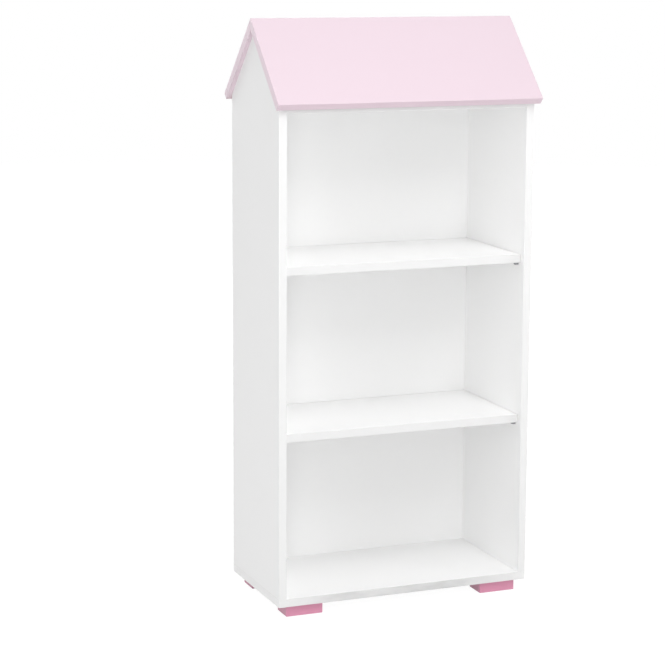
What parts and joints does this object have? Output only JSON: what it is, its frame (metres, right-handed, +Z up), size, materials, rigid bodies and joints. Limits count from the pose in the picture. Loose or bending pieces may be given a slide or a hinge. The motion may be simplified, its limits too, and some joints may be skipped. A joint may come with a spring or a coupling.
{
  "type": "house shaped bookcase",
  "caption": "House-shaped open bookcase for a child's room: white boards, loose shelves on pins, a closed back, a pale pink gabled roof and low pink block feet.",
  "frame": {"origin": "on the floor at the centre of the bounding box, below the middle of the ridge", "axes": "+X to the right seen from the open front, +Y to the closed back, +Z up"},
  "size_m": [0.62, 0.346, 1.3],
  "materials": {
    "white_board": "white melamine-faced particleboard, satin with a very fine grain",
    "white_edging": "white edge strip, satin",
    "white_fibreboard": "thin fibreboard, white foil inside and raw brown fibre outside",
    "pink_board": "pale pink melamine-faced particleboard, satin",
    "pink_edging": "pale pink edge strip, satin",
    "pink_foot": "solid wood lacquered in a darker pink, satin",
    "zinc_steel": "bright zinc plate",
    "zinc_casting": "grey zinc die casting",
    "beech": "raw beech, fluted"
  },
  "bodies": {
    "case": {"left_side_panel": "white_board", "right_side_panel": "white_board", "bottom_board": "white_board", "top_board": "white_board", "back_panel": "white_fibreboard", "front_roof_panel": "pink_board", "rear_roof_panel": "pink_board", "left_side_edging": "white_edging", "right_side_edging": "white_edging", "bottom_board_edging": "white_edging", "top_board_edging": "white_edging", "front_roof_edging": "pink_edging", "rear_roof_edging": "pink_edging", "front_left_foot": "pink_foot", "front_right_foot": "pink_foot", "rear_left_foot": "pink_foot", "rear_right_foot": "pink_foot", "foot_screws": "zinc_steel", "bottom_dowels": "beech", "bottom_screws": "zinc_steel", "top_dowels": "beech", "top_cam_bolts": "zinc_steel", "top_cam_locks": "zinc_casting", "upper_shelf_pins": "zinc_steel", "lower_shelf_pins": "zinc_steel", "back_panel_nails": "zinc_steel", "front_roof_dowels": "beech", "front_roof_brackets": "zinc_steel", "front_roof_bracket_screws": "zinc_steel", "ridge_dowels": "beech", "rear_roof_screws": "zinc_steel", "rear_roof_screw_caps": "pink_edging", "wall_bracket": "zinc_steel", "wall_bracket_screws": "zinc_steel"},
    "upper_shelf": {"upper_shelf": "white_board", "upper_shelf_edging": "white_edging"},
    "lower_shelf": {"lower_shelf": "white_board", "lower_shelf_edging": "white_edging"}
  },
  "joints": [
    {"name": "upper_shelf_slide", "type": "slide", "parent": "case", "child": "upper_shelf", "axis": [0, -1, 0], "range_m": [0, 0.33]},
    {"name": "lower_shelf_slide", "type": "slide", "parent": "case", "child": "lower_shelf", "axis": [0, -1, 0], "range_m": [0, 0.33]}
  ]
}
